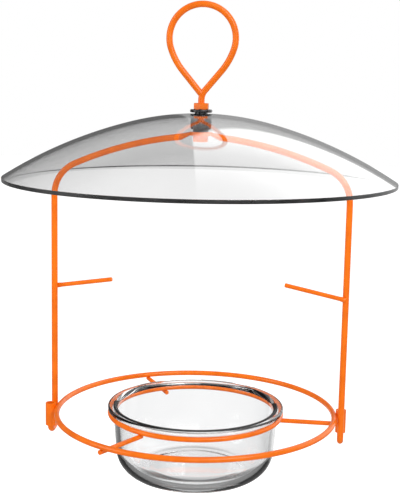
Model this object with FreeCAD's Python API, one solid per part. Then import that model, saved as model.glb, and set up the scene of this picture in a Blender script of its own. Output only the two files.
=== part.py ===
# Hanging bird feeder: clear rain dome, bent wire frame with fruit spikes, lift-off ring tray and glass dish.
# Millimetres. +Z is up, X runs from one upright to the other, and the origin is the inner top of the
# hanging loop, where a hook or branch carries the whole feeder.
import math
import os

import FreeCAD
import Part

V = FreeCAD.Vector
UP = V(0, 0, 1)

# Wire sizes
HANGER_WIRE = 4.15
FRAME_WIRE = 4.15
RING_WIRE = 3.6
DISH_RING_WIRE = 3.3
SPOKE_WIRE = 3.0
SPIKE_WIRE = 2.9

# Hanging loop, a teardrop of wire on a stem
LOOP_RADIUS = 21.3
LOOP_FLANK_RADIUS = 42.0
LOOP_FLANK_START = 18.0
LOOP_ARM_ANGLE = 40.0
STEM_BEND_RADIUS = 9.0

# Hub, from the top down
HANG_HEIGHT = 66.8
NUT_WIDTH = 9.0
NUT_HEIGHT = 4.0
NUT_CHAMFER_ANGLE = 30.0
WASHER_DIAMETER = 14.3
WASHER_THICKNESS = 2.0
WASHER_NECK_DIAMETER = 8.2
WASHER_NECK_HEIGHT = 0.6
WASHER_EDGE_RADIUS = 0.7
SPACER_DIAMETER = 13.5
SPACER_HEIGHT = 8.7
SPACER_CHAMFER = 0.8
SPACER_NECK_DIAMETER = 10.0
SPACER_NECK_HEIGHT = 1.6
STEM_RECESS = 0.4

# Clear dome
DOME_DIAMETER = 254.0
DOME_WALL = 2.2
DOME_CROWN_RADIUS = 178.0
DOME_FLANK_RADIUS = 287.0
DOME_BLEND_ANGLE = 14.5
DOME_HOLE_CLEARANCE = 0.3
DOME_EDGE_ROUND = 0.35

# Frame: one wire, flattened to an eye at the middle and bent to a hook at each lower end
EYE_DIAMETER = 15.0
EYE_THICKNESS = 2.2
EYE_TAPER_LENGTH = 5.4
EYE_TAPER_WIDTH = 7.4
ARM_DROP = 1.2
ARM_START_ANGLE = 5.8
ARM_RADIUS = 231.0
SHOULDER_RADIUS = 22.8
FRAME_HALF_WIDTH = 97.1
FRAME_DROP = 197.85
HOOK_PITCH = 10.6
HOOK_BEND_RADIUS = 4.2
HOOK_ENGAGEMENT = 11.4
WIRE_END_ROUND = 0.7

# Fruit spikes, each with a weld bead round its base that reaches past the upright's side
SPIKE_LENGTH = 41.0
SPIKE_DROP = 105.1
SPIKE_RISE_ANGLE = 9.9
SPIKE_TURN_ANGLE = 9.0
SPIKE_END_ROUND = 0.35
SPIKE_BEAD_SWELL = 0.2
SPIKE_BEAD_REACH = 2.1

# Lift-off tray
LUG_DIAMETER = 6.9
LUG_WALL = 0.95
LUG_LENGTH = 15.3
LUG_SEAT_GAP = 0.4
RING_BELOW_LUG_TOP = 3.2
SPOKE_OVERHANG = 0.2
SPOKE_END_ROUND = 0.4
WELD_DEPTH = 0.15
SPOKES = ("right", "back", "front")

# Glass dish
DISH_BODY_DIAMETER = 110.2
DISH_RIM_OVERHANG = 3.6
DISH_HEIGHT = 47.8
DISH_RIM_THICKNESS = 3.6
DISH_WALL = 3.1
DISH_FLOOR = 4.8
DISH_DRAFT = 4.3
DISH_HEEL_RADIUS = 18.0
DISH_INNER_HEEL_RADIUS = 14.5
DISH_FOOT_WIDTH = 3.5
DISH_FOOT_RECESS = 1.0
DISH_FOOT_ROUND = 0.4
DISH_RIM_ROUND = 1.7
DISH_LIP_ROUND = 1.3
DISH_CLEARANCE = 0.5
DISH_SEAT_GAP = 0.05

# How near two lengths are to count as the same when an edge is looked up
NEAR = 0.01

# How far the middle of a quarter bend has run along each side, as a share of its radius
EIGHTH = math.sqrt(0.5)

# Levels that follow from the sizes above
CROWN_TOP = -HANG_HEIGHT
CROWN_UNDERSIDE = CROWN_TOP - DOME_WALL
WASHER_TOP = CROWN_TOP + WASHER_NECK_HEIGHT + WASHER_THICKNESS
EYE_TOP = CROWN_UNDERSIDE - SPACER_HEIGHT - SPACER_NECK_HEIGHT
EYE_UNDERSIDE = EYE_TOP - EYE_THICKNESS
STEM_END = EYE_UNDERSIDE - NUT_HEIGHT + STEM_RECESS
HOOK_START = EYE_TOP - FRAME_DROP
LUG_BOTTOM = HOOK_START - LUG_SEAT_GAP
LUG_TOP = LUG_BOTTOM + LUG_LENGTH
RING_LEVEL = LUG_TOP - RING_BELOW_LUG_TOP
SPOKE_LEVEL = RING_LEVEL - RING_WIRE / 2 - SPOKE_WIRE / 2 + WELD_DEPTH
DISH_RING_LEVEL = SPOKE_LEVEL + SPOKE_WIRE / 2 - WELD_DEPTH + DISH_RING_WIRE / 2
DISH_RIM_UNDERSIDE = DISH_RING_LEVEL + DISH_RING_WIRE / 2 + DISH_SEAT_GAP
DISH_TOP = DISH_RIM_UNDERSIDE + DISH_RIM_THICKNESS
DISH_BASE = DISH_TOP - DISH_HEIGHT

# Radii that follow: the tray's tubes stand on the frame's hooks and the ring is welded to their inner side
LUG_CIRCLE = math.hypot(FRAME_HALF_WIDTH, HOOK_PITCH)
RING_RADIUS = LUG_CIRCLE - LUG_DIAMETER / 2 - RING_WIRE / 2 + WELD_DEPTH
DISH_RING_RADIUS = DISH_BODY_DIAMETER / 2 + DISH_CLEARANCE + DISH_RING_WIRE / 2


def polar(centre, radius, degrees):
    """Point in the XZ plane at an angle from +X towards +Z."""
    a = math.radians(degrees)
    return V(centre.x + radius * math.cos(a), centre.y, centre.z + radius * math.sin(a))


def arc(centre, radius, start, end):
    """Arc in the XZ plane between two angles, in the direction of travel."""
    middle = (start + end) / 2
    points = [polar(centre, radius, angle) for angle in (start, middle, end)]
    return Part.Arc(*points).toShape()


def line(start, end):
    return Part.makeLine(start, end)


def sweep_wire(edges, diameter, start, direction):
    """Round wire swept along joined tangent edges from its start point."""
    path = Part.Wire(edges)
    section = Part.Wire(Part.makeCircle(diameter / 2, start, direction))
    return path.makePipeShell([section], True, False)


def ring(radius, wire, level):
    """Closed welded hoop of round wire."""
    return Part.makeTorus(radius, wire / 2, V(0, 0, level), UP)


def turned(points_and_arcs):
    """Solid of revolution about the Z axis from joined edges in the XZ plane."""
    face = Part.Face(Part.Wire(points_and_arcs))
    return face.revolve(V(0, 0, 0), UP, 360)


def circle_edges(shape, level, radius):
    """Full circles about the Z axis at a level."""
    centre = V(0, 0, level)
    return [e for e in shape.Edges if e.Closed and e.BoundBox.Center.distanceToPoint(centre) < NEAR
            and abs(e.Length / (2 * math.pi) - radius) < NEAR]


def hanging_loop():
    """Teardrop loop whose one end runs down as the threaded stem; the other is welded against it."""
    top = V(0, 0, HANGER_WIRE / 2 - LOOP_RADIUS)
    shift = LOOP_FLANK_RADIUS - LOOP_RADIUS
    crown = arc(top, LOOP_RADIUS, -LOOP_FLANK_START, 180 + LOOP_FLANK_START)
    right_flank = arc(polar(top, shift, 180 - LOOP_FLANK_START), LOOP_FLANK_RADIUS,
                      -LOOP_ARM_ANGLE, -LOOP_FLANK_START)
    left_flank = arc(polar(top, shift, LOOP_FLANK_START), LOOP_FLANK_RADIUS,
                     180 + LOOP_FLANK_START, 180 + LOOP_ARM_ANGLE)
    right_low = right_flank.Vertexes[0].Point
    left_low = left_flank.Vertexes[-1].Point
    lean = math.radians(LOOP_ARM_ANGLE)
    bend_out = STEM_BEND_RADIUS * (1 - math.cos(lean))
    arm_length = (right_low.x - bend_out) / math.sin(lean)
    arm_direction = V(-math.sin(lean), 0, -math.cos(lean))
    bend_top = right_low + arm_direction * arm_length
    bend_centre = V(STEM_BEND_RADIUS, 0, bend_top.z - STEM_BEND_RADIUS * math.sin(lean))
    bend = arc(bend_centre, STEM_BEND_RADIUS, 180, 180 - LOOP_ARM_ANGLE)
    stem_end = V(0, 0, STEM_END)
    stem = line(stem_end, V(0, 0, bend_centre.z))
    arm = line(bend_top, right_low)
    loop = sweep_wire([stem, bend, arm, right_flank, crown, left_flank], HANGER_WIRE, stem_end, UP)
    free_arm_length = -left_low.x / math.sin(lean)
    free_arm = Part.makeCylinder(HANGER_WIRE / 2, free_arm_length, left_low,
                                 V(math.sin(lean), 0, -math.cos(lean)))
    return loop.fuse(free_arm).removeSplitter()


def nut(bottom):
    """Hexagon nut with a corner towards the front and both ends chamfered to its flats."""
    corner = NUT_WIDTH / math.sqrt(3)
    points = []
    for i in range(7):
        a = math.radians(60 * i)
        points.append(V(corner * math.sin(a), -corner * math.cos(a), bottom))
    prism = Part.Face(Part.makePolygon(points)).extrude(UP * NUT_HEIGHT)
    flat = NUT_WIDTH / 2
    drop = (corner - flat) * math.tan(math.radians(NUT_CHAMFER_ANGLE))
    top = bottom + NUT_HEIGHT
    outline = [V(0, 0, bottom), V(flat, 0, bottom), V(corner, 0, bottom + drop),
               V(corner, 0, top - drop), V(flat, 0, top), V(0, 0, top), V(0, 0, bottom)]
    blank = turned(Part.makePolygon(outline).Edges)
    return prism.common(blank).cut(stem_bore(bottom, NUT_HEIGHT))


def stem_bore(bottom, height):
    """Hole that the hanger's stem fills."""
    return Part.makeCylinder(HANGER_WIRE / 2, height, V(0, 0, bottom))


def crown_ball(depth):
    """Ball whose surface is the dome's crown, or lies the given depth below it."""
    return Part.makeSphere(DOME_CROWN_RADIUS - depth, V(0, 0, CROWN_TOP - DOME_CROWN_RADIUS))


def top_washer():
    """Rubber washer with a short neck shaped to the dome's crown."""
    flange = Part.makeCylinder(WASHER_DIAMETER / 2, WASHER_THICKNESS, V(0, 0, WASHER_TOP - WASHER_THICKNESS))
    flange = flange.makeFillet(WASHER_EDGE_RADIUS, [e for e in flange.Edges if e.Closed])
    neck = Part.makeCylinder(WASHER_NECK_DIAMETER / 2, WASHER_TOP - CROWN_UNDERSIDE, V(0, 0, CROWN_UNDERSIDE))
    washer = flange.fuse(neck.cut(crown_ball(0)))
    return washer.cut(stem_bore(CROWN_UNDERSIDE, HANG_HEIGHT))


def dome():
    """Thin clear cap: a rounder crown that runs out into a flatter flank, with a square-cut edge."""
    blend = math.radians(DOME_BLEND_ANGLE)
    crown_centre = V(0, 0, CROWN_TOP - DOME_CROWN_RADIUS)
    flank_shift = DOME_FLANK_RADIUS - DOME_CROWN_RADIUS
    flank_centre = crown_centre - V(math.sin(blend), 0, math.cos(blend)) * flank_shift
    hole = HANGER_WIRE / 2 + DOME_HOLE_CLEARANCE
    edge = DOME_DIAMETER / 2
    sides = []
    for crown_radius, flank_radius in ((DOME_CROWN_RADIUS, DOME_FLANK_RADIUS),
                                       (DOME_CROWN_RADIUS - DOME_WALL, DOME_FLANK_RADIUS - DOME_WALL)):
        hole_angle = math.degrees(math.acos(hole / crown_radius))
        edge_angle = math.degrees(math.acos((edge - flank_centre.x) / flank_radius))
        crown = arc(crown_centre, crown_radius, hole_angle, 90 - DOME_BLEND_ANGLE)
        flank = arc(flank_centre, flank_radius, 90 - DOME_BLEND_ANGLE, edge_angle)
        sides.append((crown, flank))
    (outer_crown, outer_flank), (inner_crown, inner_flank) = sides
    rim = line(outer_flank.Vertexes[-1].Point, inner_flank.Vertexes[-1].Point)
    bore = line(inner_crown.Vertexes[0].Point, outer_crown.Vertexes[0].Point)
    shell = turned([outer_crown, outer_flank, rim, inner_flank, inner_crown, bore])
    rim_edges = [e for e in shell.Edges if e.Closed and e.BoundBox.XLength > DOME_DIAMETER - DOME_EDGE_ROUND]
    return shell.makeFillet(DOME_EDGE_ROUND, rim_edges)


def spacer():
    """Rubber spacer that backs the crown from below, with a narrower neck on the frame's eye."""
    body_bottom = EYE_TOP + SPACER_NECK_HEIGHT
    body = Part.makeCylinder(SPACER_DIAMETER / 2, CROWN_TOP - body_bottom, V(0, 0, body_bottom))
    bottom_edge = [e for e in body.Edges if e.Closed and e.BoundBox.ZMax < body_bottom + SPACER_CHAMFER]
    body = body.makeChamfer(SPACER_CHAMFER, bottom_edge).common(crown_ball(DOME_WALL))
    neck = Part.makeCylinder(SPACER_NECK_DIAMETER / 2, SPACER_NECK_HEIGHT, V(0, 0, EYE_TOP))
    return body.fuse(neck).cut(stem_bore(EYE_TOP, HANG_HEIGHT))


def flattened_taper(end, direction):
    """Wire pressed from its round section, at the given end, to the thickness of the eye."""
    flat = Part.Ellipse(V(0, 0, 0), EYE_TAPER_WIDTH / 2, EYE_THICKNESS / 2).toShape()
    flat.rotate(V(0, 0, 0), UP, 90)
    flat.rotate(V(0, 0, 0), V(0, 1, 0), 90)
    flat.translate(V((EYE_DIAMETER - EYE_THICKNESS) / 2, 0, (EYE_TOP + EYE_UNDERSIDE) / 2))
    round_section = Part.makeCircle(FRAME_WIRE / 2, end, direction)
    return Part.makeLoft([Part.Wire(flat), Part.Wire(round_section)], True)


def frame_side():
    """Half of the frame wire, on the +X side: taper from the eye, arm, shoulder, upright and hook."""
    x = FRAME_HALF_WIDTH
    slope = math.radians(ARM_START_ANGLE)
    start = V(EYE_DIAMETER / 2 + EYE_TAPER_LENGTH, 0, EYE_TOP - ARM_DROP - FRAME_WIRE / 2)
    direction = V(math.cos(slope), 0, -math.sin(slope))
    run = x - start.x - SHOULDER_RADIUS + ARM_RADIUS * math.sin(slope)
    end_slope = math.degrees(math.asin(run / (ARM_RADIUS - SHOULDER_RADIUS)))
    arm_centre = polar(start, ARM_RADIUS, -90 - ARM_START_ANGLE)
    arm = arc(arm_centre, ARM_RADIUS, 90 - ARM_START_ANGLE, 90 - end_slope)
    shoulder_centre = polar(arm.Vertexes[-1].Point, SHOULDER_RADIUS, -90 - end_slope)
    shoulder = arc(shoulder_centre, SHOULDER_RADIUS, 90 - end_slope, 0)
    upright = line(V(x, 0, shoulder_centre.z), V(x, 0, HOOK_START))
    radius = HOOK_BEND_RADIUS
    low = HOOK_START - radius
    near_bend = Part.Arc(V(x, 0, HOOK_START), V(x, radius * (1 - EIGHTH), HOOK_START - radius * EIGHTH),
                         V(x, radius, low)).toShape()
    hook_floor = line(V(x, radius, low), V(x, HOOK_PITCH - radius, low))
    far_bend = Part.Arc(V(x, HOOK_PITCH - radius, low),
                        V(x, HOOK_PITCH - radius * (1 - EIGHTH), HOOK_START - radius * EIGHTH),
                        V(x, HOOK_PITCH, HOOK_START)).toShape()
    leg_top = LUG_BOTTOM + HOOK_ENGAGEMENT
    leg = line(V(x, HOOK_PITCH, HOOK_START), V(x, HOOK_PITCH, leg_top))
    hook = [near_bend, hook_floor, far_bend]
    wire = sweep_wire([arm, shoulder, upright] + hook + [leg], FRAME_WIRE, start, direction)
    tip = [e for e in wire.Edges if e.Closed and abs(e.BoundBox.Center.z - leg_top) < WIRE_END_ROUND]
    wire = wire.makeFillet(WIRE_END_ROUND, tip)
    return wire.fuse(flattened_taper(start, direction))


def frame_wire():
    """Whole frame: the flattened eye and a bent side each way, the same when turned half round."""
    side = frame_side()
    other = side.copy()
    other.rotate(V(0, 0, 0), UP, 180)
    eye = Part.makeCylinder(EYE_DIAMETER / 2, EYE_THICKNESS, V(0, 0, EYE_UNDERSIDE))
    return eye.fuse([side, other]).cut(stem_bore(EYE_UNDERSIDE, EYE_THICKNESS)).removeSplitter()


def fruit_spike(side):
    """Short blunt wire welded to one side of an upright and rising inwards; side is +1 or -1."""
    radius = SPIKE_WIRE / 2
    flat = radius - SPIKE_END_ROUND
    bead_end = FRAME_WIRE / 2 + SPIKE_BEAD_REACH
    bead_middle = (SPIKE_END_ROUND + bead_end) / 2
    bead = Part.Arc(V(radius, 0, SPIKE_END_ROUND), V(radius + SPIKE_BEAD_SWELL, 0, bead_middle),
                    V(radius, 0, bead_end)).toShape()
    tip_level = SPIKE_LENGTH - SPIKE_END_ROUND
    outline = [line(V(0, 0, 0), V(flat, 0, 0)),
               arc(V(flat, 0, SPIKE_END_ROUND), SPIKE_END_ROUND, -90, 0),
               bead,
               line(V(radius, 0, bead_end), V(radius, 0, tip_level)),
               arc(V(flat, 0, tip_level), SPIKE_END_ROUND, 0, 90),
               line(V(flat, 0, SPIKE_LENGTH), V(0, 0, SPIKE_LENGTH)),
               line(V(0, 0, SPIKE_LENGTH), V(0, 0, 0))]
    rise = math.radians(SPIKE_RISE_ANGLE)
    turn = math.radians(SPIKE_TURN_ANGLE)
    inward = V(-side * math.cos(turn), side * math.sin(turn), 0)
    direction = inward * math.cos(rise) + UP * math.sin(rise)
    offset = (FRAME_WIRE + SPIKE_WIRE) / 2 - WELD_DEPTH
    base = V(side * FRAME_HALF_WIDTH, -side * offset, EYE_TOP - SPIKE_DROP)
    spike = turned(outline)
    spike.Placement = FreeCAD.Placement(base, FreeCAD.Rotation(UP, direction))
    upright = Part.makeCylinder(FRAME_WIRE / 2, SPIKE_LENGTH, base - V(0, base.y, SPIKE_LENGTH / 2))
    return spike.cut(upright)


def lug_tube(side, outer_ring):
    """Open sleeve on the ring's outside that drops over a hook's upturned leg."""
    centre = V(side * FRAME_HALF_WIDTH, side * HOOK_PITCH, LUG_BOTTOM)
    tube = Part.makeCylinder(LUG_DIAMETER / 2, LUG_LENGTH, centre)
    bore = Part.makeCylinder(LUG_DIAMETER / 2 - LUG_WALL, LUG_LENGTH, centre)
    return tube.cut(bore).cut(outer_ring)


def spoke(angle, rings):
    """Straight wire under both rings, clear of the dish inside and of the frame outside."""
    draft = math.tan(math.radians(DISH_DRAFT))
    body_radius_here = DISH_BODY_DIAMETER / 2 - (DISH_RIM_UNDERSIDE - SPOKE_LEVEL) * draft
    inner = body_radius_here + DISH_CLEARANCE
    outer = RING_RADIUS + RING_WIRE / 2 + SPOKE_OVERHANG
    bar = Part.makeCylinder(SPOKE_WIRE / 2, outer - inner, V(inner, 0, SPOKE_LEVEL), V(1, 0, 0))
    bar = bar.makeFillet(SPOKE_END_ROUND, [e for e in bar.Edges if e.Closed])
    bar.rotate(V(0, 0, 0), UP, angle)
    return bar.cut(rings)


def glass_dish():
    """Round dish with a rolled rim that rests on the small ring, tapered wall, big heel and foot ring."""
    draft = math.tan(math.radians(DISH_DRAFT))
    body = DISH_BODY_DIAMETER / 2
    rim = body + DISH_RIM_OVERHANG
    low = body - (DISH_RIM_UNDERSIDE - DISH_BASE) * draft
    mouth = body - DISH_WALL
    floor_level = DISH_BASE + DISH_FLOOR
    low_inside = mouth - (DISH_TOP - floor_level) * draft
    foot = low - DISH_HEEL_RADIUS - DISH_FOOT_WIDTH
    foot_level = DISH_BASE + DISH_FOOT_RECESS
    inside = [V(0, 0, floor_level), V(low_inside, 0, floor_level), V(mouth, 0, DISH_TOP)]
    outside = [V(rim, 0, DISH_TOP), V(rim, 0, DISH_RIM_UNDERSIDE), V(body, 0, DISH_RIM_UNDERSIDE)]
    underside = [V(low, 0, DISH_BASE), V(foot, 0, DISH_BASE), V(foot, 0, foot_level), V(0, 0, foot_level)]
    dish = turned(Part.makePolygon(inside + outside + underside + inside[:1]).Edges)
    rounds = [(DISH_HEEL_RADIUS, [(DISH_BASE, low)]),
              (DISH_INNER_HEEL_RADIUS, [(floor_level, low_inside)]),
              (DISH_RIM_ROUND, [(DISH_TOP, rim), (DISH_RIM_UNDERSIDE, rim)]),
              (DISH_LIP_ROUND, [(DISH_TOP, mouth)]),
              (DISH_FOOT_ROUND, [(DISH_BASE, foot), (foot_level, foot)])]
    for round_radius, circles in rounds:
        edges = [edge for level, radius in circles for edge in circle_edges(dish, level, radius)]
        dish = dish.makeFillet(round_radius, edges)
    return dish


def build():
    outer_ring = ring(RING_RADIUS, RING_WIRE, RING_LEVEL)
    dish_ring = ring(DISH_RING_RADIUS, DISH_RING_WIRE, DISH_RING_LEVEL)
    nodes = {
        "hanging_loop": hanging_loop(),
        "upper_nut": nut(WASHER_TOP),
        "top_washer": top_washer(),
        "dome": dome(),
        "spacer": spacer(),
        "frame_wire": frame_wire(),
        "lower_nut": nut(EYE_UNDERSIDE - NUT_HEIGHT),
        "fruit_spike_left": fruit_spike(-1),
        "fruit_spike_right": fruit_spike(1),
        "outer_ring": outer_ring,
        "dish_ring": dish_ring,
        "lug_tube_left": lug_tube(-1, outer_ring),
        "lug_tube_right": lug_tube(1, outer_ring),
        "glass_dish": glass_dish(),
    }
    for i, name in enumerate(SPOKES):
        nodes["spoke_" + name] = spoke(360 * i / len(SPOKES), [outer_ring, dish_ring])
    os.makedirs("parts", exist_ok=True)
    for name, shape in nodes.items():
        shape.exportStep("parts/" + name + ".step")


build()
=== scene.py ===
# Hanging bird feeder: finishes for its wires, rubber, clear dome and glass dish, on a white studio floor
# Metres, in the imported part's frame: +Z is up and the origin is the inner top of the hanging loop
import math

import bpy
from mathutils import Matrix, Vector


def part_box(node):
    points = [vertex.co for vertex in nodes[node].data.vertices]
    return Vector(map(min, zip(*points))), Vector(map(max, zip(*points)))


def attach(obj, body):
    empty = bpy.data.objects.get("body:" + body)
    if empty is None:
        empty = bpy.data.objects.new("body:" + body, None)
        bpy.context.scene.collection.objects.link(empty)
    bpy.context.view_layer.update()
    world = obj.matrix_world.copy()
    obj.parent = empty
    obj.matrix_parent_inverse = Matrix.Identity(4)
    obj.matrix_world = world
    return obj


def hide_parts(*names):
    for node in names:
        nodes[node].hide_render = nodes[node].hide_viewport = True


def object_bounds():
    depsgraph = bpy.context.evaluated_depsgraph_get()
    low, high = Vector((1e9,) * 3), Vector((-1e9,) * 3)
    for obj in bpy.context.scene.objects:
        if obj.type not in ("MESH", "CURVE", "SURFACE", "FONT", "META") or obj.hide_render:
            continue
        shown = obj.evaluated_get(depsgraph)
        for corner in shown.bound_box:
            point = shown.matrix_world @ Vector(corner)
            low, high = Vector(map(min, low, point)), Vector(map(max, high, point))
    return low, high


# Camera, as the photograph was taken: its place, turn, and focal length for a frame 36 mm tall
CAMERA_PLACE = (0.08763, -0.67189, -0.04651)
CAMERA_HEADING = 7.352
CAMERA_TILT = -8.972
CAMERA_ROLL = 1.116
CAMERA_LENS = 76.31
FRAME_SIDE = 36.0

# Lamps: where each stands, its width and height, its power in watts, and the point that both face
KEY_PLACE = (0.9, -1.1, 0.9)
KEY_SIZE = (0.9, 0.9)
KEY_POWER = 11.0
FILL_PLACE = (-1.3, -0.6, 0.3)
FILL_SIZE = (0.8, 1.2)
FILL_POWER = 5.0
LAMP_TARGET = (0.0, 0.0, -0.17)

# Even light from all round on dull skins
AMBIENT_LIGHT = 0.74
WHITE = (1.0, 1.0, 1.0, 1.0)

# Room as gloss sees it: grey levels, and the heights (parts of a unit direction) over which they change
ROOM_GREY = 0.13
LOW_GREY = 0.20
LOW_END = (0.15, 0.5)
RIGHT_GREY = 0.50
RIGHT_END = (0.35, 0.85)
CEILING_GREY = 0.50
CEILING_EDGE = (0.62, 0.85)

# Soft box on the right, as gloss sees it: brightness, edges and how it fades upwards and behind the camera
BOX_WHITE = 2.1
BOX_LEFT = 0.165
BOX_LEFT_BLUR = (-0.005, 0.005)
BOX_BACK = (-0.1, 0.2)
BOX_SLANT = 1.3
BOX_FOOT = (0.45, 0.51)
BOX_HEAD = (0.76, 0.96)
BOX_HEAD_LEVEL = 0.1

# Two upright panels behind the camera, as gloss sees them: brightness, and their left and right edges
PANEL_WHITE = 2.0
WIDE_PANEL = (0.0, 0.80)
NARROW_PANEL = (-0.90, -0.68)
PANEL_BLUR = 0.02
PANEL_FRONT = (-0.05, -0.15)

# Backdrop as clear pieces see it: the heights over which white turns to the room's grey
BACKDROP_TOP = (0.12, 0.35)

# Floor: its own finish, and how much the camera's view of it is lifted
FLOOR_DROP = 0.25
FLOOR_SIZE = 12.0
FLOOR_COLOUR = (0.9, 0.9, 0.9, 1.0)
FLOOR_ROUGHNESS = 0.8
FLOOR_LIFT = 0.45

# Floor as clear pieces see it, a painted glow: white, but a painted grey shade at some way in front and
# behind; distances are from the axis
CLEAR_BELOW = (0.18, 0.26)
CLEAR_NEAR_PAINTED_SHADE = 0.15
CLEAR_FAR = (0.30, 0.52)
CLEAR_BESIDE = (0.12, 0.24)

# Floor as gloss sees it, a painted reflection: painted grey shade near the feeder, white far behind it, and
# dimmer beside it as painted shade
MIRRORED_NEAR_PAINTED_SHADE = 0.28
MIRRORED_BESIDE = (0.2, 0.6)
MIRRORED_FAR = (0.35, 0.60)
MIRRORED_WHITE = 0.95
SIDE_EDGE = (-0.45, -0.25)
SIDE_MIDDLE = (-0.05, 0.05)
LEFT_SIDE = 0.25
RIGHT_SIDE = 0.55

# Finishes: the two tones of each, with painted shade as the dome edge's dark tones, and how strongly the
# clear ones bend light
ORANGE = (0.97, 0.190, 0.004, 1.0)
ORANGE_DEEP = (0.86, 0.155, 0.003, 1.0)
RUBBER_BLACK = (0.012, 0.012, 0.013, 1.0)
RUBBER_GREY = (0.026, 0.026, 0.028, 1.0)
# Dome's cut edge: painted shade, near-black tones standing in for the dark look of light turned back inside
# the sheet
EDGE_PAINTED_SHADE_DARK = (0.015, 0.016, 0.017, 1.0)
EDGE_PAINTED_SHADE_GREY = (0.07, 0.072, 0.075, 1.0)
SHEET_CLEAR = (0.930, 0.930, 0.930, 1.0)
SHEET_CLEARER = (0.945, 0.945, 0.945, 1.0)
GLASS_CLEAR = (0.985, 0.990, 0.995, 1.0)
GLASS_CLEARER = (0.995, 0.998, 1.0, 1.0)
CLEAR_PLASTIC_INDEX = 1.58
GLASS_INDEX = 1.50

# Outline of the clear dome
DOME_WALL = 0.0022
DOME_CROWN_RADIUS = 0.178
DOME_FLANK_RADIUS = 0.287
DOME_BLEND_ANGLE = 14.5
DOME_HOLE_RADIUS = 0.002375
DOME_EDGE_ROUND = 0.00035

# Outline of the glass dish
DISH_HEIGHT = 0.0478
DISH_BODY_RADIUS = 0.0551
DISH_RIM_OVERHANG = 0.0036
DISH_RIM_THICKNESS = 0.0036
DISH_WALL = 0.0031
DISH_FLOOR = 0.0048
DISH_DRAFT = 4.3
DISH_HEEL_RADIUS = 0.018
DISH_INNER_HEEL_RADIUS = 0.0145
DISH_FOOT_RECESS = 0.0004
DISH_FOOT_SLOPE = 0.0030
DISH_FOOT_ROUND = 0.004
DISH_RIM_ROUND = 0.0014
DISH_RIM_LOW_ROUND = 0.0017
DISH_LIP_ROUND = 0.0028

# Turned pieces: how many flats go round and along each kind of stretch
TURNS = 240
CROWN_STEPS = 24
FLANK_STEPS = 48
EDGE_ROUND_STEPS = 6
CUT_EDGE_STEPS = 2
CORNER_STEPS = 9
STRAIGHT_STEPS = 4

# How near two outline points are to count as one, and how far out in the edge's round its cut face starts
NEAR = 1e-7
CUT_FACE_SHARE = 0.9

# Nodes that aren't bent wire, nut or sleeve
RUBBER_PIECES = ["top_washer", "spacer"]
CLEAR_PIECES = ["dome", "glass_dish"]

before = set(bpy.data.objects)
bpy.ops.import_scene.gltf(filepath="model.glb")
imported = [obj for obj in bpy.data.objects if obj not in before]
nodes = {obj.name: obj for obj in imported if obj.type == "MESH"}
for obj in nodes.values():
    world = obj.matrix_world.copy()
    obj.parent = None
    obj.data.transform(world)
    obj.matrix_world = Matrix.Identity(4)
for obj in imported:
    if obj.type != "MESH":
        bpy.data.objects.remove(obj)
cad_box = [list(corner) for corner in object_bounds()]


def add(tree, kind, **settings):
    """Adds a node, with its properties or its input sockets set by name."""
    node = tree.nodes.new(kind)
    for name, value in settings.items():
        if hasattr(node, name):
            setattr(node, name, value)
        else:
            node.inputs[name.replace("_", " ")].default_value = value
    return node


def feed(tree, value, socket):
    """Sets a socket to a number, or links another node's output to it."""
    if isinstance(value, (int, float)):
        socket.default_value = value
    else:
        tree.links.new(value, socket)


def math_node(tree, operation, first, second=0.0, clamped=False):
    """Output of a maths node whose two inputs are numbers or other nodes' outputs."""
    node = add(tree, "ShaderNodeMath", operation=operation, use_clamp=clamped)
    feed(tree, first, node.inputs[0])
    feed(tree, second, node.inputs[1])
    return node.outputs[0]


def ramp(tree, value, start, end, low=0.0, high=1.0):
    """Output that goes smoothly from low to high as the value goes from start to end."""
    node = add(tree, "ShaderNodeMapRange", interpolation_type="SMOOTHSTEP", From_Min=start, From_Max=end,
               To_Min=low, To_Max=high)
    tree.links.new(value, node.inputs["Value"])
    return node.outputs["Result"]


def between(tree, value, start, end, blur):
    """1 where the value lies between two edges, with a slight blur at both."""
    return math_node(tree, "MULTIPLY", ramp(tree, value, start - blur, start + blur),
                     ramp(tree, value, end - blur, end + blur, 1.0, 0.0))


def mixed(tree, factor, first, second):
    """Output that is the first number at factor 0 and the second at factor 1."""
    node = add(tree, "ShaderNodeMix", data_type="FLOAT")
    feed(tree, factor, node.inputs[0])
    feed(tree, first, node.inputs[2])
    feed(tree, second, node.inputs[3])
    return node.outputs[0]


def choose(tree, factor, first, second):
    """Shader that is the first at factor 0 and the second at factor 1."""
    node = add(tree, "ShaderNodeMixShader")
    tree.links.new(factor, node.inputs["Fac"])
    tree.links.new(first, node.inputs[1])
    tree.links.new(second, node.inputs[2])
    return node.outputs[0]


def clear_or_gloss(tree, path):
    """1 for rays that came by gloss or through clear pieces only, 0 once they left a dull surface."""
    glossy = path.outputs["Is Glossy Ray"]
    either = math_node(tree, "ADD", glossy, path.outputs["Is Transmission Ray"], True)
    undulled = math_node(tree, "LESS_THAN", path.outputs["Diffuse Depth"], 0.5)
    return math_node(tree, "MULTIPLY", either, undulled)


def by_gloss(tree, path):
    """1 for rays that a glossy surface has mirrored on their way, 0 for those that only went through."""
    return math_node(tree, "GREATER_THAN", path.outputs["Glossy Depth"], 0.5)


def new_group(name, inputs, outputs):
    """Empty shader node group with named sockets, and its two end nodes."""
    tree = bpy.data.node_groups.new(name, "ShaderNodeTree")
    for socket, kind, value in inputs:
        made = tree.interface.new_socket(name=socket, in_out="INPUT", socket_type=kind)
        made.default_value = value
    for socket, kind in outputs:
        tree.interface.new_socket(name=socket, in_out="OUTPUT", socket_type=kind)
    return tree, tree.nodes.new("NodeGroupInput"), tree.nodes.new("NodeGroupOutput")


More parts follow.
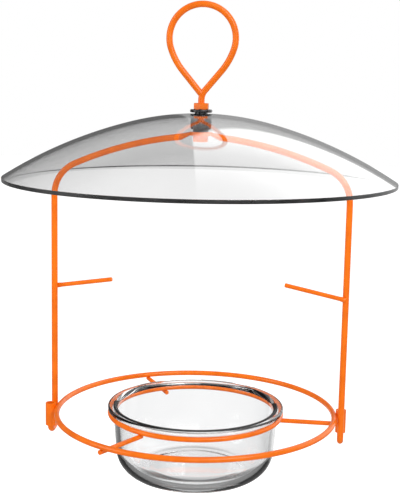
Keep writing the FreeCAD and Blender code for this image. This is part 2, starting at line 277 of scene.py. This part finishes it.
def cloudy_skin_group():
    """Cloudy variation between two colours and two roughness values, as a sprayed or moulded skin has."""
    tree, start, end = new_group(
        "cloudy skin",
        [("Scale", "NodeSocketFloat", 60.0),
         ("First Colour", "NodeSocketColor", WHITE),
         ("Second Colour", "NodeSocketColor", WHITE),
         ("Low Roughness", "NodeSocketFloat", 0.3),
         ("High Roughness", "NodeSocketFloat", 0.4)],
        [("Colour", "NodeSocketColor"), ("Roughness", "NodeSocketFloat")])
    place = add(tree, "ShaderNodeTexCoord")
    cloud = add(tree, "ShaderNodeTexNoise", Detail=4.0, Roughness=0.55)
    spread = add(tree, "ShaderNodeMapRange", From_Min=0.35, From_Max=0.65)
    mix = add(tree, "ShaderNodeMix", data_type="RGBA")
    rough = add(tree, "ShaderNodeMapRange", From_Min=0.35, From_Max=0.65)
    tree.links.new(place.outputs["Object"], cloud.inputs["Vector"])
    tree.links.new(start.outputs["Scale"], cloud.inputs["Scale"])
    tree.links.new(cloud.outputs["Fac"], spread.inputs["Value"])
    tree.links.new(spread.outputs["Result"], mix.inputs[0])
    tree.links.new(start.outputs["First Colour"], mix.inputs[6])
    tree.links.new(start.outputs["Second Colour"], mix.inputs[7])
    tree.links.new(cloud.outputs["Fac"], rough.inputs["Value"])
    tree.links.new(start.outputs["Low Roughness"], rough.inputs["To Min"])
    tree.links.new(start.outputs["High Roughness"], rough.inputs["To Max"])
    tree.links.new(mix.outputs[2], end.inputs["Colour"])
    tree.links.new(rough.outputs["Result"], end.inputs["Roughness"])
    return tree


def fine_dimples_group():
    """Fine uneven skin as a height: peel on powder coat, grain on rubber, saw marks on a cut edge."""
    tree, start, end = new_group(
        "fine dimples",
        [("Scale", "NodeSocketFloat", 900.0), ("Stretch", "NodeSocketVector", (1.0, 1.0, 1.0))],
        [("Height", "NodeSocketFloat")])
    place = add(tree, "ShaderNodeTexCoord")
    stretch = add(tree, "ShaderNodeVectorMath", operation="MULTIPLY")
    bumps = add(tree, "ShaderNodeTexNoise", Detail=2.0, Roughness=0.5)
    tree.links.new(place.outputs["Object"], stretch.inputs[0])
    tree.links.new(start.outputs["Stretch"], stretch.inputs[1])
    tree.links.new(stretch.outputs["Vector"], bumps.inputs["Vector"])
    tree.links.new(start.outputs["Scale"], bumps.inputs["Scale"])
    tree.links.new(bumps.outputs["Fac"], end.inputs["Height"])
    return tree


CLOUDY_SKIN = cloudy_skin_group()
FINE_DIMPLES = fine_dimples_group()


def place_group(tree, group, **values):
    """Puts a node group into a material with its own values."""
    node = tree.nodes.new("ShaderNodeGroup")
    node.node_tree = group
    for name, value in values.items():
        node.inputs[name.replace("_", " ")].default_value = value
    return node


def new_material(name):
    """Material with its node tree, and the shader to set up."""
    material = bpy.data.materials.new(name)
    material.use_nodes = True
    return material, material.node_tree, material.node_tree.nodes["Principled BSDF"]


def clouded(tree, shader, scale, first, second, roughness):
    """Gives a shader a cloudy colour and roughness."""
    skin = place_group(tree, CLOUDY_SKIN, Scale=scale, First_Colour=first, Second_Colour=second,
                       Low_Roughness=roughness[0], High_Roughness=roughness[1])
    tree.links.new(skin.outputs["Colour"], shader.inputs["Base Color"])
    tree.links.new(skin.outputs["Roughness"], shader.inputs["Roughness"])


def dimpled(tree, shader, scale, strength, stretch=(1.0, 1.0, 1.0)):
    """Feeds the fine dimples to a shader's normal through a bump."""
    height = place_group(tree, FINE_DIMPLES, Scale=scale, Stretch=stretch)
    bump = add(tree, "ShaderNodeBump", Strength=strength, Distance=0.0002)
    tree.links.new(height.outputs["Height"], bump.inputs["Height"])
    tree.links.new(bump.outputs["Normal"], shader.inputs["Normal"])


def powder_coat():
    """Orange satin powder coat with a faint orange peel and slightly deeper clouds."""
    material, tree, shader = new_material("orange powder coat")
    clouded(tree, shader, 90.0, ORANGE_DEEP, ORANGE, (0.34, 0.46))
    shader.inputs["Specular IOR Level"].default_value = 0.1
    shader.inputs["Coat Weight"].default_value = 0.5
    shader.inputs["Coat Roughness"].default_value = 0.14
    dimpled(tree, shader, 1400.0, 0.03)
    return material


def black_rubber():
    """Smooth black moulded rubber with a dull bloom."""
    material, tree, shader = new_material("black moulded rubber")
    clouded(tree, shader, 260.0, RUBBER_BLACK, RUBBER_GREY, (0.20, 0.34))
    shader.inputs["Specular IOR Level"].default_value = 0.6
    dimpled(tree, shader, 2600.0, 0.2)
    return material


def clear_body(name, index, first, second):
    """Clear glossy body with faint clouds in its tint and its polish."""
    material, tree, shader = new_material(name)
    clouded(tree, shader, 25.0, first, second, (0.0, 0.004))
    shader.inputs["Transmission Weight"].default_value = 1.0
    shader.inputs["IOR"].default_value = index
    return material


def sawn_edge_with_painted_shade():
    """Sawn edge of clear sheet: frosted and only partly clear, with fine saw marks; its dark, near-black
    colour is painted shade for the dark look that light turned back inside the sheet gives the edge.
    """
    material, tree, shader = new_material("sawn dome edge with painted shade")
    clouded(tree, shader, 45.0, EDGE_PAINTED_SHADE_DARK, EDGE_PAINTED_SHADE_GREY, (0.25, 0.45))
    shader.inputs["Transmission Weight"].default_value = 0.75
    shader.inputs["IOR"].default_value = CLEAR_PLASTIC_INDEX
    dimpled(tree, shader, 900.0, 0.1, (1.0, 1.0, 6.0))
    return material


def dress(names, material):
    """Gives CAD nodes a material in place of their own."""
    for name in names:
        piece = nodes[name]
        piece.data.materials.clear()
        piece.data.materials.append(material)


def bend(centre, radius, start, end, steps, side=1.0):
    """Outline points round a centre with their normals: away from it for side 1, towards it for side -1."""
    run = []
    for step in range(steps + 1):
        angle = start + (end - start) * step / steps
        way = Vector((math.cos(angle), math.sin(angle)))
        run.append((centre + way * radius, way * side))
    return run


def straight(start, end, steps=1):
    """Outline points along a line, with the normal on its left."""
    way = (end - start).normalized()
    normal = Vector((-way.y, way.x))
    return [(start.lerp(end, step / steps), normal) for step in range(steps + 1)]


def rounded(corners):
    """Runs along an outline whose corners each have their own radius."""
    runs = []
    last = Vector(corners[0][:2])
    for before, corner, after in zip(corners, corners[1:], corners[2:]):
        point = Vector(corner[:2])
        radius = corner[2]
        come = (point - Vector(before[:2])).normalized()
        go = (Vector(after[:2]) - point).normalized()
        turn = math.atan2(come.x * go.y - come.y * go.x, come.dot(go))
        start = point - come * radius * math.tan(abs(turn) / 2)
        runs.append(straight(last, start, STRAIGHT_STEPS))
        last = start
        if radius:
            side = math.copysign(1.0, turn)
            left = Vector((-come.y, come.x)) * side
            centre = start + left * radius
            first = math.atan2(-left.y, -left.x)
            runs.append(bend(centre, radius, first, first + turn, CORNER_STEPS, -side))
            last = runs[-1][-1][0]
    runs.append(straight(last, Vector(corners[-1][:2]), STRAIGHT_STEPS))
    return runs


def outline_strips(runs):
    """Distinct points of a closed outline, and its strips, each with its start and its two normals."""
    points = [runs[0][0][0]]
    strips = []
    for run in runs:
        for (_, first_normal), (point, second_normal) in zip(run, run[1:]):
            if (point - points[-1]).length > NEAR:
                points.append(point)
                strips.append((len(points) - 2, first_normal, second_normal))
    if (points[-1] - points[0]).length < NEAR:
        points.pop()
    return points, strips


def lathe(name, runs, material):
    """Turns an outline into an even, clear skin with its true curve's normals; lamps shine through it."""
    points, strips = outline_strips(runs)
    corners = []
    rings = []
    for point in points:
        flats = TURNS if point.x > NEAR else 1
        rings.append([len(corners) + step % flats for step in range(TURNS + 1)])
        for step in range(flats):
            angle = math.tau * step / TURNS
            corners.append((point.x * math.cos(angle), point.x * math.sin(angle), point.y))
    faces = []
    normals = []
    for number, first_normal, second_normal in strips:
        first = rings[number]
        second = rings[(number + 1) % len(rings)]
        for step in range(TURNS):
            face = []
            for ring, turn, normal in ((first, 0, first_normal), (second, 0, second_normal),
                                       (second, 1, second_normal), (first, 1, first_normal)):
                corner = ring[step + turn]
                if corner not in face:
                    angle = math.tau * (step + turn) / TURNS
                    face.append(corner)
                    normals.append((normal.x * math.cos(angle), normal.x * math.sin(angle), normal.y))
            faces.append(face)
    mesh = bpy.data.meshes.new(name)
    mesh.from_pydata(corners, [], faces)
    mesh.polygons.foreach_set("use_smooth", [True] * len(faces))
    mesh.normals_split_custom_set(normals)
    mesh.materials.append(material)
    piece = bpy.data.objects.new(name, mesh)
    bpy.context.scene.collection.objects.link(piece)
    piece.visible_shadow = False
    return piece


def stand_in_for(piece, node, body):
    """Sets a finer skin where its CAD node is, top to top, and has it ride on the same body."""
    low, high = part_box(node)
    top = max(corner.co.z for corner in piece.data.vertices)
    piece.location = ((low[0] + high[0]) / 2, (low[1] + high[1]) / 2, high[2] - top)
    bpy.context.view_layer.update()
    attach(piece, body)
    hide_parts(node)


def clear_dome(material, painted_shade_edge_material):
    """Rain cap: rounder crown, flatter flank and a square-cut edge with two small rounds."""
    low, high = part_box("dome")
    blend = math.radians(90 - DOME_BLEND_ANGLE)
    crown = Vector((0.0, -DOME_CROWN_RADIUS))
    flank = crown - Vector((math.cos(blend), math.sin(blend))) * (DOME_FLANK_RADIUS - DOME_CROWN_RADIUS)
    inner_crown = DOME_CROWN_RADIUS - DOME_WALL
    inner_flank = DOME_FLANK_RADIUS - DOME_WALL
    across = (high[0] - low[0]) / 2 - DOME_EDGE_ROUND - flank.x
    outer_reach = DOME_FLANK_RADIUS - DOME_EDGE_ROUND
    inner_reach = inner_flank + DOME_EDGE_ROUND
    outer_turn = math.acos(across / outer_reach)
    inner_turn = math.acos(across / inner_reach)
    outer_round = flank + Vector((across, outer_reach * math.sin(outer_turn)))
    inner_round = flank + Vector((across, inner_reach * math.sin(inner_turn)))
    out = Vector((DOME_EDGE_ROUND, 0.0))
    hole_turn = math.acos(DOME_HOLE_RADIUS / DOME_CROWN_RADIUS)
    inner_hole_turn = math.acos(DOME_HOLE_RADIUS / inner_crown)
    runs = [bend(crown, DOME_CROWN_RADIUS, hole_turn, blend, CROWN_STEPS),
            bend(flank, DOME_FLANK_RADIUS, blend, outer_turn, FLANK_STEPS),
            bend(outer_round, DOME_EDGE_ROUND, outer_turn, 0.0, EDGE_ROUND_STEPS),
            straight(outer_round + out, inner_round + out, CUT_EDGE_STEPS),
            bend(inner_round, DOME_EDGE_ROUND, 0.0, inner_turn - math.pi, EDGE_ROUND_STEPS),
            bend(flank, inner_flank, inner_turn, blend, FLANK_STEPS, -1.0),
            bend(crown, inner_crown, blend, inner_hole_turn, CROWN_STEPS, -1.0)]
    runs.append(straight(runs[-1][-1][0], runs[0][0][0]))
    cap = lathe("clear_dome", runs, material)
    # The cut edge gets the painted-shade edge material
    cap.data.materials.append(painted_shade_edge_material)
    cut_face = flank.x + across + DOME_EDGE_ROUND * CUT_FACE_SHARE
    for face in cap.data.polygons:
        if Vector(face.center[:2]).length > cut_face:
            face.material_index = 1
    stand_in_for(cap, "dome", "hanger")


def dish(material):
    """Pressed bowl: floor and drafted wall inside, rolled rim, large heel, shallow foot recess."""
    draft = math.tan(math.radians(DISH_DRAFT))
    rim = DISH_BODY_RADIUS + DISH_RIM_OVERHANG
    rim_underside = DISH_HEIGHT - DISH_RIM_THICKNESS
    low = DISH_BODY_RADIUS - rim_underside * draft
    mouth = DISH_BODY_RADIUS - DISH_WALL
    low_inside = mouth - (DISH_HEIGHT - DISH_FLOOR) * draft
    foot = low - DISH_HEEL_RADIUS
    runs = rounded([(0.0, DISH_FLOOR, 0.0), (low_inside, DISH_FLOOR, DISH_INNER_HEEL_RADIUS),
                    (mouth, DISH_HEIGHT, DISH_LIP_ROUND), (rim, DISH_HEIGHT, DISH_RIM_ROUND),
                    (rim, rim_underside, DISH_RIM_LOW_ROUND), (DISH_BODY_RADIUS, rim_underside, 0.0),
                    (low, 0.0, DISH_HEEL_RADIUS), (foot, 0.0, DISH_FOOT_ROUND),
                    (foot - DISH_FOOT_SLOPE, DISH_FOOT_RECESS, DISH_FOOT_ROUND),
                    (0.0, DISH_FOOT_RECESS, 0.0)])
    stand_in_for(lathe("turned_dish", runs, material), "glass_dish", "tray")


def clear_floor_painted_glow(tree, place, across):
    """Floor's painted glow to clear pieces: white below the feeder, beside it and far off, else a painted
    grey shade.
    """
    reach = add(tree, "ShaderNodeVectorMath", operation="LENGTH")
    tree.links.new(place.outputs["Object"], reach.inputs[0])
    below = ramp(tree, reach.outputs["Value"], *CLEAR_BELOW, 1.0, 0.0)
    far = ramp(tree, reach.outputs["Value"], *CLEAR_FAR, CLEAR_NEAR_PAINTED_SHADE, 1.0)
    level = math_node(tree, "MAXIMUM", below, far)
    return math_node(tree, "MAXIMUM", level, ramp(tree, across, *CLEAR_BESIDE))


def mirrored_floor_painted_glow(tree, axes, across):
    """Floor's painted reflection to gloss: white far behind the feeder, dimmed to the sides and grey near
    it as painted shade.
    """
    far = ramp(tree, axes.outputs["Y"], *MIRRORED_FAR, 0.0, MIRRORED_WHITE)
    side = ramp(tree, math_node(tree, "SUBTRACT", across, axes.outputs["Y"]), *SIDE_EDGE)
    dimmed = ramp(tree, axes.outputs["X"], *SIDE_MIDDLE, 1.0 - LEFT_SIDE, 1.0 - RIGHT_SIDE)
    kept = math_node(tree, "SUBTRACT", 1.0, math_node(tree, "MULTIPLY", side, dimmed))
    far = math_node(tree, "MULTIPLY", far, kept)
    return math_node(tree, "MAXIMUM", far, ramp(tree, across, *MIRRORED_BESIDE, MIRRORED_NEAR_PAINTED_SHADE, ROOM_GREY))


def white_floor():
    """Pale floor below the feeder: it keeps the shadow, and clear pieces and gloss see it as a painted glow
    of its own greys instead of its lit colour.
    """
    lowest = cad_box[0][2]
    bpy.ops.mesh.primitive_plane_add(size=FLOOR_SIZE, location=(0, 0, lowest - FLOOR_DROP))
    floor = bpy.context.object
    floor.name = "floor"
    material, tree, shader = new_material("white studio floor")
    shader.inputs["Base Color"].default_value = FLOOR_COLOUR
    shader.inputs["Roughness"].default_value = FLOOR_ROUGHNESS
    path = add(tree, "ShaderNodeLightPath")
    lift = add(tree, "ShaderNodeEmission")
    both = add(tree, "ShaderNodeAddShader")
    lifted = math_node(tree, "MULTIPLY", path.outputs["Is Camera Ray"], FLOOR_LIFT)
    tree.links.new(lifted, lift.inputs["Strength"])
    tree.links.new(shader.outputs[0], both.inputs[0])
    tree.links.new(lift.outputs[0], both.inputs[1])
    place = add(tree, "ShaderNodeTexCoord")
    axes = add(tree, "ShaderNodeSeparateXYZ")
    tree.links.new(place.outputs["Object"], axes.inputs[0])
    across = math_node(tree, "ABSOLUTE", axes.outputs["X"])
    level = mixed(tree, by_gloss(tree, path), clear_floor_painted_glow(tree, place, across),
                  mirrored_floor_painted_glow(tree, axes, across))
    # Painted glow: to gloss and clear rays the floor shines with these greys instead of showing its lit
    # colour
    gloss_and_clear_glow = add(tree, "ShaderNodeEmission")
    tree.links.new(level, gloss_and_clear_glow.inputs["Strength"])
    final = choose(tree, clear_or_gloss(tree, path), both.outputs[0], gloss_and_clear_glow.outputs[0])
    tree.links.new(final, tree.nodes["Material Output"].inputs["Surface"])
    floor.data.materials.append(material)


def mirrored_room_level(tree, x, y, z):
    """Room's brightness to gloss: greys, the soft box on the right and two panels behind the camera."""
    across = math_node(tree, "ADD", x, math_node(tree, "MULTIPLY", y, BOX_LEFT))
    right = math_node(tree, "MULTIPLY", ramp(tree, across, *BOX_LEFT_BLUR), ramp(tree, y, *BOX_BACK))
    height = math_node(tree, "ADD", z, math_node(tree, "MULTIPLY", x, BOX_SLANT))
    head = ramp(tree, z, *BOX_HEAD, 1.0, BOX_HEAD_LEVEL)
    box = math_node(tree, "MULTIPLY", ramp(tree, height, *BOX_FOOT), head)
    box = math_node(tree, "MULTIPLY", box, right)
    dim = math_node(tree, "MULTIPLY", right, ramp(tree, z, *RIGHT_END, RIGHT_GREY - LOW_GREY, 0.0))
    room = math_node(tree, "ADD", dim, ramp(tree, z, *LOW_END, LOW_GREY, ROOM_GREY))
    panels = math_node(tree, "ADD", between(tree, x, *WIDE_PANEL, PANEL_BLUR),
                       between(tree, x, *NARROW_PANEL, PANEL_BLUR))
    behind = math_node(tree, "MULTIPLY", ramp(tree, y, *PANEL_FRONT), PANEL_WHITE)
    room = math_node(tree, "MAXIMUM", room, math_node(tree, "MULTIPLY", panels, behind))
    room = math_node(tree, "MAXIMUM", room, ramp(tree, z, *CEILING_EDGE, 0.0, CEILING_GREY))
    return mixed(tree, box, room, BOX_WHITE)


def studio_world():
    """White to the camera, even light on dull skins, a white backdrop to clear ones, dark to gloss."""
    world = bpy.data.worlds.new("studio")
    bpy.context.scene.world = world
    world.use_nodes = True
    tree = world.node_tree
    tree.nodes.clear()
    path = add(tree, "ShaderNodeLightPath")
    place = add(tree, "ShaderNodeTexCoord")
    axes = add(tree, "ShaderNodeSeparateXYZ")
    tree.links.new(place.outputs["Generated"], axes.inputs[0])
    x, y, z = axes.outputs["X"], axes.outputs["Y"], axes.outputs["Z"]
    backdrop = ramp(tree, z, *BACKDROP_TOP, 1.0, ROOM_GREY)
    gloss_and_clear_glow = add(tree, "ShaderNodeBackground")
    level = mixed(tree, by_gloss(tree, path), backdrop, mirrored_room_level(tree, x, y, z))
    tree.links.new(level, gloss_and_clear_glow.inputs["Strength"])
    white = add(tree, "ShaderNodeBackground", Color=WHITE, Strength=1.0)
    ambient = add(tree, "ShaderNodeBackground", Color=WHITE, Strength=AMBIENT_LIGHT)
    seen = choose(tree, clear_or_gloss(tree, path), ambient.outputs[0], gloss_and_clear_glow.outputs[0])
    final = choose(tree, path.outputs["Is Camera Ray"], seen, white.outputs[0])
    out = add(tree, "ShaderNodeOutputWorld")
    tree.links.new(final, out.inputs["Surface"])


def soft_lamp(name, place, size, power):
    """Square-edged soft lamp that faces the feeder's middle."""
    data = bpy.data.lights.new(name, "AREA")
    data.shape = "RECTANGLE"
    data.size, data.size_y = size
    data.energy = power
    lamp = bpy.data.objects.new(name, data)
    bpy.context.scene.collection.objects.link(lamp)
    lamp.location = place
    lamp.rotation_mode = "QUATERNION"
    lamp.rotation_quaternion = (Vector(LAMP_TARGET) - Vector(place)).to_track_quat("-Z", "Y")
    lamp.visible_camera = False


def camera():
    """Camera with the place, turn and lens of the photograph."""
    data = bpy.data.cameras.new("camera")
    data.sensor_width = FRAME_SIDE
    data.lens = CAMERA_LENS
    view = bpy.data.objects.new("camera", data)
    bpy.context.scene.collection.objects.link(view)
    turn = (Matrix.Rotation(math.radians(CAMERA_HEADING), 4, "Z")
            @ Matrix.Rotation(math.radians(90 + CAMERA_TILT), 4, "X")
            @ Matrix.Rotation(math.radians(CAMERA_ROLL), 4, "Z"))
    view.matrix_world = Matrix.Translation(CAMERA_PLACE) @ turn
    bpy.context.scene.camera = view


dress([name for name in nodes if name not in RUBBER_PIECES + CLEAR_PIECES], powder_coat())
dress(RUBBER_PIECES, black_rubber())
clear_dome(clear_body("clear dome sheet", CLEAR_PLASTIC_INDEX, SHEET_CLEAR, SHEET_CLEARER), sawn_edge_with_painted_shade())
dish(clear_body("pressed dish glass", GLASS_INDEX, GLASS_CLEAR, GLASS_CLEARER))
white_floor()
studio_world()
soft_lamp("key lamp", KEY_PLACE, KEY_SIZE, KEY_POWER)
soft_lamp("fill lamp", FILL_PLACE, FILL_SIZE, FILL_POWER)
camera()
bpy.context.scene.view_settings.view_transform = "Standard"
